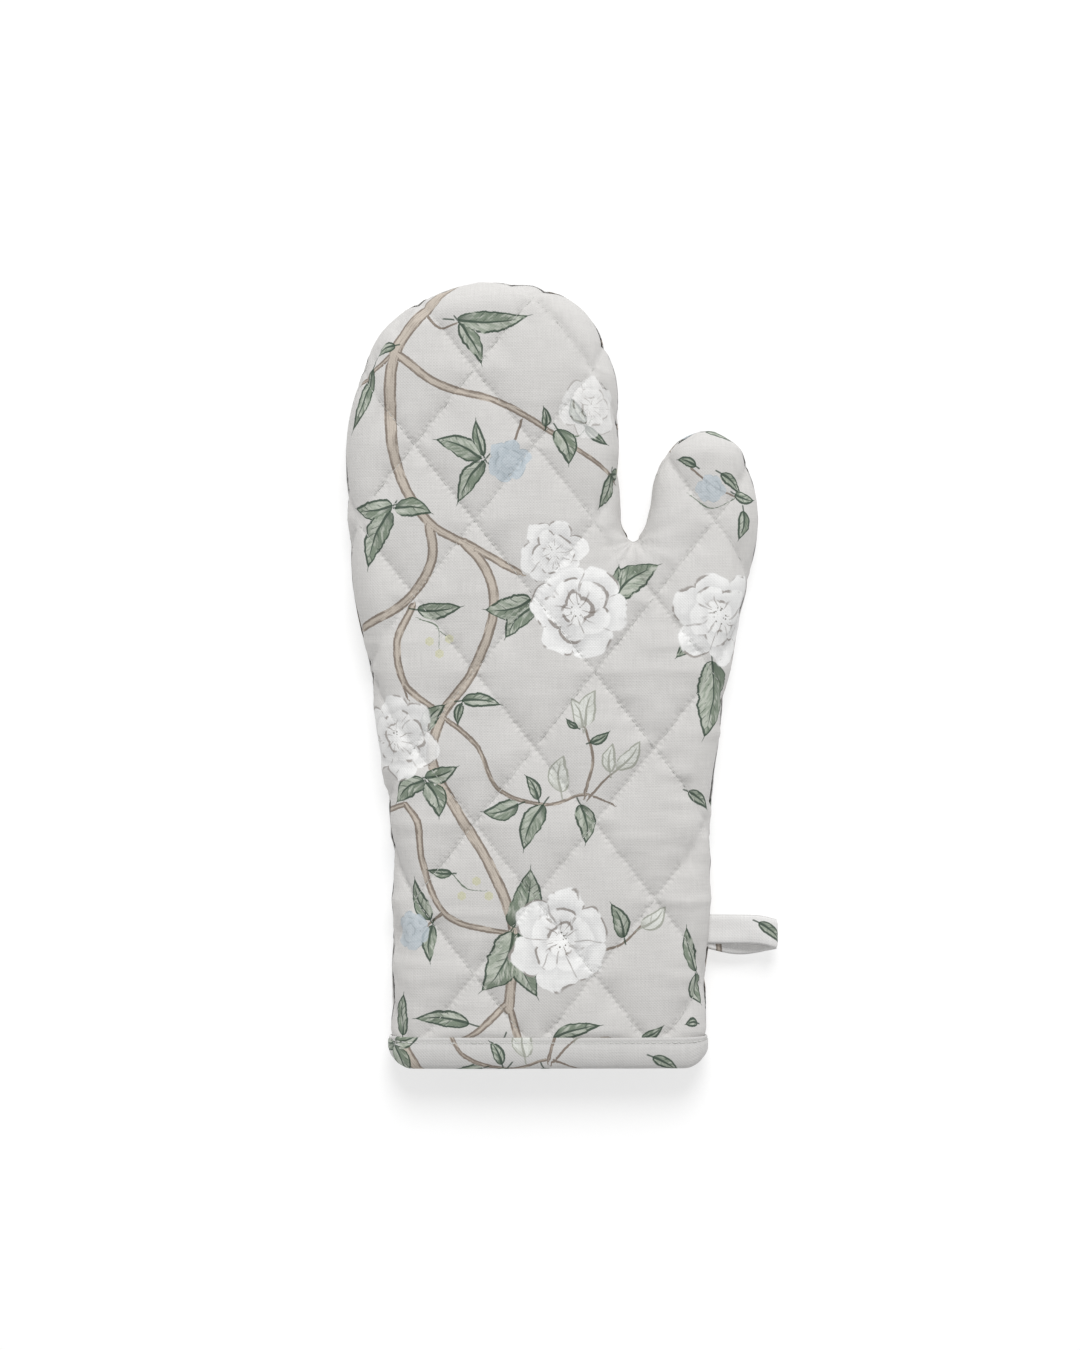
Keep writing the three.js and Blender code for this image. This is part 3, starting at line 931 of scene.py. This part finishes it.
def draw_flowers(paint, colour, grain, blot):
    x, y, strength = paint.field("flower")
    radius, kind, turn = paint.field("flower_kind")
    is_white, is_blue, is_berry = kind.step(0.7, 0.3), kind.step(0.3, 0.7), kind.step(1.3, 1.7)
    u, v = x / radius, y / radius
    bend_x = paint.noise(paint.vector(u * 1.6, v * 1.6, turn), 1.0, 1.0) - 0.5
    bend_y = paint.noise(paint.vector(u * 1.6, v * 1.6, turn + 9.0), 1.0, 1.0) - 0.5
    u, v = u + bend_x * 0.42 * (1.0 - is_berry), v + bend_y * 0.42 * (1.0 - is_berry)
    distance = (u * u + v * v) ** 0.5
    share = distance + (grain - 0.5) * 0.035
    angle = v.math("ARCTAN2", u)
    hand = paint.noise(paint.vector(u * 2.2, v * 2.2, turn + 4.0))
    fill = paint.mix(is_blue, srgb(238, 238, 237), srgb(188, 198, 205))
    fill = paint.mix(is_berry, fill, srgb(205, 204, 180))
    shade = paint.mix(is_blue, srgb(209, 209, 209), srgb(168, 181, 189))
    shade = paint.mix(is_berry, shade, srgb(188, 187, 160))
    line_colour = paint.mix(is_blue, srgb(122, 112, 105), srgb(148, 161, 168))
    drawn = paint.mix(hand.step(0.42, 0.7) * 0.5, fill, shade)
    cover = None
    for size, petals, turned_by in ((1.0, 6.0, 0.0), (0.66, 5.0, 0.7), (0.34, 4.0, 1.9)):
        lobe = abs(((angle + turned_by) * (petals / 2)).sine())
        reach = ((lobe ** 0.5) * 0.2 + 0.78) * size
        gap = share - reach
        inner = gap.step(0.02, -0.02)
        cover = inner if cover is None else cover
        fold = gap.step(-0.2, 0.02) * inner
        drawn = paint.mix(gap.step(0.2, 0.0) * gap.step(-0.02, 0.02) * 0.55, drawn, shade)
        drawn = paint.mix(fold * 0.35, drawn, fill)
        thick = hand * 0.055 - 0.006
        line = (abs(gap + 0.015) - thick).step(0.012, -0.006) * hand.step(0.49, 0.57)
        crease = (lobe - 0.13 * (1.0 - share)).step(0.05, 0.0) * (share - size * 0.28).step(0.0, 0.03)
        crease = crease * inner * hand.step(0.54, 0.47) * (share - size * 0.74).step(0.06, -0.02)
        ink = line.most(crease * 0.8) * (1.0 - is_berry)
        drawn = paint.mix(ink * 0.78, drawn, line_colour)
    rays = (angle * 9.0 + hand * 7.0).sine().step(0.86, 0.99) * hand.step(0.4, 0.55)
    rays = rays * share.step(0.46, 0.3) * share.step(0.1, 0.16)
    drawn = paint.mix(rays * is_white * 0.7, drawn, line_colour)
    dots = paint.cells(paint.vector(x, y), 0.8).step(0.36, 0.24) * share.step(0.17, 0.13)
    drawn = paint.mix(dots * is_white * 0.9, drawn, srgb(96, 92, 84))
    return paint.mix(cover * strength * 0.97, colour, drawn)


def printed_cotton(name, ground, sheen):
    paint = Paint(name)
    x, y, _ = paint.field("cloth")
    height, slubs = weave(paint, x, y)
    grain = paint.noise(paint.vector(x, y), 0.9, 2.0)
    blot = paint.noise(paint.vector(x, y, 3.0), 0.28, 2.0)
    tint = paint.noise(paint.vector(x, y, 9.0), 0.035, 1.0)
    colour = paint.mix(tint, ground, tuple(c * k for c, k in zip(ground, (0.965, 0.963, 0.957))) + (1,))
    colour = draw_branch(paint, colour, grain, blot)
    colour = draw_leaves(paint, colour, grain, blot)
    colour = draw_flowers(paint, colour, grain, blot)
    # the weave's height term is painted shade: raised threads lighter and the hollows between them darker;
    # the slubs are the threads' own uneven tone
    colour = paint.shade(colour, slubs * 0.34 + height * 0.05 + 0.805)
    return paint.finish(colour, height * 0.5 + slubs * 1.2, WEAVE_DEPTH, 0.9, sheen)


def plain_cotton(name, ground):
    paint = Paint(name)
    x, y, _ = paint.field("cloth")
    height, slubs = weave(paint, x, y)
    colour = paint.shade(paint.mix(0.0, ground, ground), slubs * 0.2 + 0.9)
    return paint.finish(colour, height * 0.5 + slubs, WEAVE_DEPTH, 0.9, 0.1)


def wadding(name):
    paint = Paint(name)
    x, y, _ = paint.field("cloth")
    fluff = paint.noise(paint.vector(x, y), 0.6, 5.0)
    colour = paint.mix(fluff, srgb(236, 234, 228), srgb(250, 249, 246))
    return paint.finish(colour, fluff, 0.0008, 1.0, 0.3)


def thread(name, light, dark):
    paint = Paint(name)
    along, around, _ = paint.field("cloth")
    ply = ((along * 7.0 + around * 2.0)).sine() * 0.5 + 0.5
    colour = paint.mix(ply, light, dark)
    return paint.finish(colour, ply, 0.00008, 0.7, 0.2)


printed = printed_cotton("printed_cotton", srgb(209, 207.5, 205.5), 0.12)
bound = printed_cotton("binding_cotton", srgb(202, 201, 199.5), 0.2)
loop_cotton = printed_cotton("loop_cotton", srgb(229, 228, 227), 0.2)
lining = plain_cotton("lining_cotton", srgb(226, 223, 214))
fluffy = wadding("wadding")
cotton_thread = thread("thread", srgb(216, 216, 213), srgb(196, 197, 193))

# ---------------------------------------------------------------- pieces

BACK_PRINT = np.array([4, 318])  # the back's print is the front's, turned round about the middle of this
LAYER_LOOKS = {
    "print": (printed, "printed_cotton"),
    "wadding": (fluffy, "wadding"),
    "lining": (lining, "lining_cotton"),
}
PARTS = (("palm", ("palm", "fingers"), bend_hand), ("thumb", ("thumb",), bend_thumb))


def add_layers(side, name):
    """One side's outer cloth, wadding and lining, each in a piece for the hand and one for the thumb."""
    fine, coarse = web(side, FINE, CREASED), web(side, COARSE, COARSE / 2)
    print_places = fine[0].cloth if side == FRONT else BACK_PRINT - fine[0].cloth
    for layer, levels in LAYERS.items():
        outermost = layer == "print"
        chosen, cloth = (fine, print_places) if outermost else (coarse, coarse[0].cloth)
        material, slot = LAYER_LOOKS[layer]
        made = layer_pieces(f"{name}_{layer}", chosen, levels, cloth, outermost)
        for (piece, (size, area)), (part, nodes, bend) in zip(made, PARTS):
            piece.data.materials.append(material)
            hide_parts(*(f"{name}_{layer}_{node}" for node in nodes))
            bend(piece)


add_layers(FRONT, "front")
add_layers(BACK, "back")


def loop_of_cuff(spacing):
    """Places round the cuff, from the left seam over the front to the right seam and back under the mitt."""
    found = []
    for side in (FRONT, BACK):
        rows = max(6, round(18 / spacing))
        turns = np.linspace(0, math.pi / 2, rows + 1)
        flat = HALF_CUFF - ROUND[side]
        x = np.concatenate([
            -HALF_CUFF + ROUND[side] * (1 - np.cos(turns)),
            np.linspace(-flat, flat, max(2, round(2 * flat / spacing)) + 1)[1:-1],
            (HALF_CUFF - ROUND[side] * (1 - np.cos(turns)))[::-1],
        ])
        turn = np.concatenate([turns, np.full(len(x) - 2 * len(turns), math.pi / 2), turns[::-1]])
        inward = np.where(x < 0, 1.0, -1.0)
        if side == BACK:
            x, turn, inward = x[::-1], turn[::-1], inward[::-1]
        found.append((side, x[:-1], turn[:-1], inward[:-1]))
    return found


def on_cuff(loop, y, depth):
    """The loop's points at one distance from the cuff's edge and one depth under the mitt's outer face."""
    rows = []
    first = 0
    depths = np.broadcast_to(depth, sum(len(x) for _, x, _, _ in loop))
    for side, x, turn, inward in loop:
        depth = depths[first:first + len(x)]
        first += len(x)
        reach = HALF_CUFF - np.abs(x)
        places = np.column_stack([x, np.full_like(x, max(y, 0))])
        spot = Web(side, places, reach, np.column_stack([inward, np.zeros_like(x)]), turn)
        height = y + cuff_lift(x, y)
        rise = spot.rise()
        depth = np.where(depth < 0, depth * np.sin(turn) ** 2, depth)
        out = x + inward * (depth + 0.3 - PLUMP) * np.cos(turn)
        z = SEAM_Z + side * (0.1 + rise - depth) * np.sin(turn)
        rows.append(np.column_stack([out, height, np.maximum(z, LOWEST)]))
    return np.vstack(rows)


def tube_faces(rings, count, closed=True):
    """Quads between rings of count points each, the last ring joined to the first."""
    a = np.arange(rings * count).reshape(rings, count)
    b, c = np.roll(a, -1, axis=1), np.roll(a, -1, axis=0)
    d = np.roll(c, -1, axis=1)
    keep = slice(None) if closed else slice(-1)
    return np.column_stack([grid[:, keep].ravel() for grid in (a, b, d, c)])


# The binding's section, from its outer hem round the cuff's edge to its inner hem and back inside itself:
# how far each point is from the cuff's edge, and how deep under the mitt's outer face.
BINDING_SECTION = [
    (12.2, 1.5), (12.5, 0.9), (12.1, 0.5), (11.4, 0.35), (10.3, 0.75), (9.2, 0.1), (7.5, -0.35), (5.5, -0.5),
    (3.5, -0.35), (1.5, 0.1), (0.3, 0.9), (-0.3, 2.2), (-0.4, 3.6), (0.0, 5.0), (0.9, 6.2), (2.5, 6.9),
    (5.5, 7.2), (8.5, 7.1), (10.3, 6.6), (11.6, 6.8), (12.1, 6.3), (11.5, 5.7), (8, 5.7), (4, 5.7),
    (1.6, 5.3), (1.0, 3.8), (1.6, 2.2), (4, 1.7), (8, 1.7), (11, 1.7),
]
BINDING_STITCHES = 10.3  # the distance of both rows of stitches from the cuff's edge
BINDING_PRINT = np.array([6 - HALF_CUFF, 121])  # where on the print the strip's corner was cut
BINDING_SLANT = 0.25  # how much the strip's cut strays from the print's rows, on the mitt's back


def add_binding():
    """The strip folded over the cuff's edge, as a closed ring of its section."""
    loop = loop_of_cuff(1.2)
    first = on_cuff(loop, 5, 0)
    count = len(first)
    steps = np.linalg.norm(first - np.roll(first, -1, axis=0), axis=1)
    around = np.concatenate([[0], np.cumsum(steps)])
    rings, cloth = [], []
    travelled = 0
    before = BINDING_SECTION[0]
    for y, depth in BINDING_SECTION:
        pucker = (0.16 * noise(around / 3.1, y / 9, 41) + 0.22 * noise(around / 11, y / 16, 42))[:-1]
        wave = 0.35 * noise(around[:-1] / 40, 0.5, 43) if y < 3 else 0
        ring = on_cuff(loop, y, depth + pucker)
        ring[:, 1] += wave
        rings.append(ring)
        travelled += math.dist((y, depth), before)
        before = (y, depth)
        slant = BINDING_SLANT * np.maximum(around - 2 * HALF_CUFF, 0)
        cloth.append(BINDING_PRINT + np.column_stack([around, -travelled - slant]))
    points = np.vstack(rings)
    quads = tube_faces(len(rings), count)
    own = tube_faces(len(rings), count + 1, closed=False)
    cloth = np.vstack(cloth)[own]
    binding = make_mesh("cuff_binding_strip", points, quads, cloth, printed=True)
    binding.data.materials.append(bound)
    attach(binding, "palm")
    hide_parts("cuff_binding")


add_binding()


# ---------------------------------------------------------------- thread

LINES = 12  # of each family, to either side of the first
LINE_STITCHES = 160  # along each line, to either side of its middle
QUILTING_END = 4.0  # how far short of the edge the quilting stops


def stitches(name, middles, ways, outwards, length, width, lift=0.0):
    """A row of single stitches: short strokes of thread that lie on the cloth and sink in at their ends."""
    rings, corners = 6, 6
    t = np.linspace(-1, 1, rings)
    around = np.arange(corners) * 2 * math.pi / corners
    thick = np.sqrt(np.maximum(1 - t ** 4, 0)) * 0.92 + 0.08
    sink = -0.5 * t ** 4
    ways, outwards = unit(ways), unit(outwards)
    sides = unit(np.cross(ways, outwards))
    template = []
    for k in range(rings):
        for angle in around:
            template.append((t[k] * length / 2, math.cos(angle) * thick[k] * width / 2,
                             (math.sin(angle) * thick[k] * 0.8 + sink[k]) * width / 2 + lift))
    template = np.array(template)
    points = middles[:, None] + sum(
        template[None, :, k:k + 1] * axis[:, None] for k, axis in enumerate((ways, sides, outwards)))
    faces = []
    for k in range(rings - 1):
        for c in range(corners):
            a, b = k * corners + c, k * corners + (c + 1) % corners
            faces.append((a, b, b + corners, a + corners))
    for ring, order in ((0, (0, 5, 4, 3, 2, 1)), (rings - 1, (0, 1, 2, 3, 4, 5))):
        first = [ring * corners + c for c in order]
        faces += [(first[0], first[1], first[2], first[3]), (first[0], first[3], first[4], first[5])]
    size = rings * corners
    every = (np.arange(len(middles))[:, None, None] * size + np.array(faces)[None]).reshape(-1, 4)
    cloth = np.tile(np.column_stack([template[:, 0], np.tile(around, rings)]), (len(middles), 1))
    made = make_mesh(name, points.reshape(-1, 3), every, cloth)
    made.data.materials.append(cotton_thread)
    return made


def add_binding_thread(name, node, depth, outside, seed):
    """One row of stitches round the binding, on its outside or its inside."""
    loop = loop_of_cuff(0.5)
    ring = on_cuff(loop, BINDING_STITCHES, depth)
    ring[:, 1] += 0.18 * noise(np.arange(len(ring)) / 30, 0, seed)
    closed = np.vstack([ring, ring[:1]])
    along = np.concatenate([[0], np.cumsum(np.linalg.norm(np.diff(closed, axis=0), axis=1))])
    number = round(along[-1] / 2.9)
    spots = (np.arange(number) + 0.5) * along[-1] / number
    middles, ahead = (
        np.column_stack([np.interp(spots + move, along, column) for column in closed.T]) for move in (0, 0.3))
    ways = ahead - middles
    outwards = np.cross(ways, np.tile([0, 1.0, 0], (number, 1)))
    middle = np.array([0, 0, SEAM_Z])
    facing = ((middles - middle) * [0.2, 0, 1] * outwards).sum(1)
    outwards = outwards * np.sign(facing)[:, None] * (1 if outside else -1)
    made = stitches(name, middles, ways, outwards, 2.5, 0.55, 0.12)
    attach(made, "palm")
    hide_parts(node)


add_binding_thread("needle_stitches", "binding_needle_thread", 0.75, True, 51)
add_binding_thread("bobbin_stitches", "binding_bobbin_thread", 6.7, False, 52)


def quilting_stitches(side, name):
    """The stitches of both families of quilting lines on one side's outer face."""
    half = math.hypot(*HALF_DIAMOND)
    spots, ways = [], []
    along = np.arange(-LINE_STITCHES, LINE_STITCHES) * STITCH + STITCH / 2
    for family in (1, -1):
        way = HALF_DIAMOND * (1, family) / half
        for number in range(-LINES, LINES):
            start = NODE + number * np.array([HALF_DIAMOND[0] * 2, 0])
            spots.append(start + along[:, None] * way)
            ways.append(np.tile(way, (len(along), 1)))
    spots, ways = np.vstack(spots), np.vstack(ways)
    loop = np.vstack([edge_line[edge_line[:, 1] > 0], [(HALF_CUFF, 0), (-HALF_CUFF, 0)]])
    keep = inside(spots, loop) & (spots[:, 1] > BINDING_TOP + 3)
    spots, ways = spots[keep], ways[keep]
    keep = Web(side, spots).reach > QUILTING_END
    spots, ways = spots[keep], ways[keep]
    step = STITCH / 3
    thumb = on_thumb(spots)
    for part, chosen, bend in (("hand", ~thumb, bend_hand), ("thumb", thumb, bend_thumb)):
        own, way = Web(side, spots[chosen]), ways[chosen]
        ahead, behind = (Web(side, own.places + way * move).lay(0) for move in (step, -step))
        label = f"{name}_quilting_{part}"
        made = stitches(label, own.lay(0), ahead - behind, own.outwards(), STITCH * 0.88, 0.3)
        bend(made)


quilting_stitches(FRONT, "front")
quilting_stitches(BACK, "back")


def add_seam_thread():
    """The stitches that join the panels, in the wall between them."""
    line = spline(EDGE, 3.0)
    line_ways = tangents(line)
    places = line + turned(line_ways) * 3.1
    keep = places[:, 1] > 16
    places, ways = places[keep], line_ways[keep]
    thumb = on_thumb(places)
    for part, chosen, nodes, bend in (
        ("hand", ~thumb, ("left", "fingers", "crotch", "right"), bend_hand),
        ("thumb", thumb, ("thumb",), bend_thumb),
    ):
        count = int(chosen.sum())
        middles = np.column_stack([places[chosen], np.full(count, SEAM_Z)])
        flat = np.column_stack([ways[chosen], np.zeros(count)])
        up = np.tile([0, 0, 1.0], (count, 1))
        made = stitches(f"seam_stitches_{part}", middles, flat, up, 2.6, 0.5)
        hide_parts(*(f"seam_thread_{node}" for node in nodes))
        bend(made)


add_seam_thread()

# ---------------------------------------------------------------- hanging loop

LOOP_Y = 55.0
LOOP_WIDTH = 12.0
LOOP_ROOT = 63.0  # where both of its ends are, inside the side seam
LOOP_PRINT = np.array([34, 109])  # where on the print its root is cut


def add_loop():
    """A folded strip that leaves the side seam, turns back at its far end and goes into the seam again."""
    path = spline([
        (LOOP_ROOT, 0.6), (67, 0.7), (72, 1.9), (79, 3.0), (86, 3.3), (91.2, 2.9), (93.1, 0.9), (93.1, -1.1),
        (91.0, -3.0), (86, -3.4), (79, -3.1), (72, -2.0), (67, -0.7), (LOOP_ROOT, -0.6),
    ], 0.8)
    ways = tangents(path)
    outs = np.column_stack([-ways[:, 1], ways[:, 0]])
    count = len(path)
    t = np.linspace(0, 1, count)
    sideways = spline([(0, 0.5), (0.25, 0.7), (0.5, -1.5), (0.75, -4.0), (1, -1.0)], 0.05)
    slip = np.interp(t, sideways[:, 0], sideways[:, 1])
    section = []
    half, thick = LOOP_WIDTH / 2, 0.6
    for s in np.linspace(-1, 1, 13):
        stitched = 1 - 0.35 * math.exp(-((abs(s) - 0.78) / 0.07) ** 2)
        section.append((s * half, thick * (1 - s ** 6) * stitched))
    for s in np.linspace(1, -1, 13)[1:-1]:
        section.append((s * half, -thick * (1 - s ** 6)))
    rows, cloth = [], []
    along = np.concatenate([[0], np.cumsum(np.linalg.norm(np.diff(path, axis=0), axis=1))])
    for across, up in section:
        wave = 0.25 * noise(along / 7, across / 6, 61)
        twist = 0.10 * np.sin(np.pi * t * 2)
        x = path[:, 0] + outs[:, 0] * (up + wave)
        z = SEAM_Z + path[:, 1] + outs[:, 1] * (up + wave) + twist * across
        y = LOOP_Y + across + slip
        rows.append(np.column_stack([x, y, z]))
        cloth.append(LOOP_PRINT + np.column_stack([along, np.full(count, across)]))
    faces = tube_faces(len(section), count, closed=False)
    loop = make_mesh("hanging_loop_strip", np.vstack(rows), faces, np.vstack(cloth), printed=True)
    loop.data.materials.append(loop_cotton)
    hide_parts("hanging_loop")
    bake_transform(loop)


add_loop()

# ---------------------------------------------------------------- floor and light

def add_floor():
    size = 4.0
    mesh = bpy.data.meshes.new("floor")
    corners = [(-size, -size, 0), (size, -size, 0), (size, size, 0), (-size, size, 0)]
    mesh.from_pydata(corners, [], [(0, 1, 2, 3)])
    floor = bpy.data.objects.new("floor", mesh)
    floor.location.z = -0.0003
    bpy.context.scene.collection.objects.link(floor)
    paint = Paint("floor")
    paint.shader.inputs["Base Color"].default_value = srgb(186, 186, 186)
    paint.shader.inputs["Roughness"].default_value = 0.9
    paint.shader.inputs["Emission Color"].default_value = (1, 1, 1, 1)
    paint.shader.inputs["Emission Strength"].default_value = 0.55
    mesh.materials.append(paint.material)


def add_light(name, place, size, power):
    data = bpy.data.lights.new(name, "AREA")
    data.shape = "DISK"
    data.size = size
    data.energy = power
    light = bpy.data.objects.new(name, data)
    light.location = place
    light.rotation_mode = "QUATERNION"
    light.rotation_quaternion = (Vector((0, 0, 0)) - Vector(place)).to_track_quat("-Z", "Y")
    bpy.context.scene.collection.objects.link(light)


def add_world(strength):
    world = bpy.data.worlds.new("studio")
    world.use_nodes = True
    background = world.node_tree.nodes["Background"]
    background.inputs["Color"].default_value = (1, 1, 1, 1)
    background.inputs["Strength"].default_value = strength
    bpy.context.scene.world = world


add_floor()
add_world(0.53)
add_light("window", (0.25, 2.6, 2.9), 2.2, 104)
bpy.context.scene.view_settings.view_transform = "Standard"
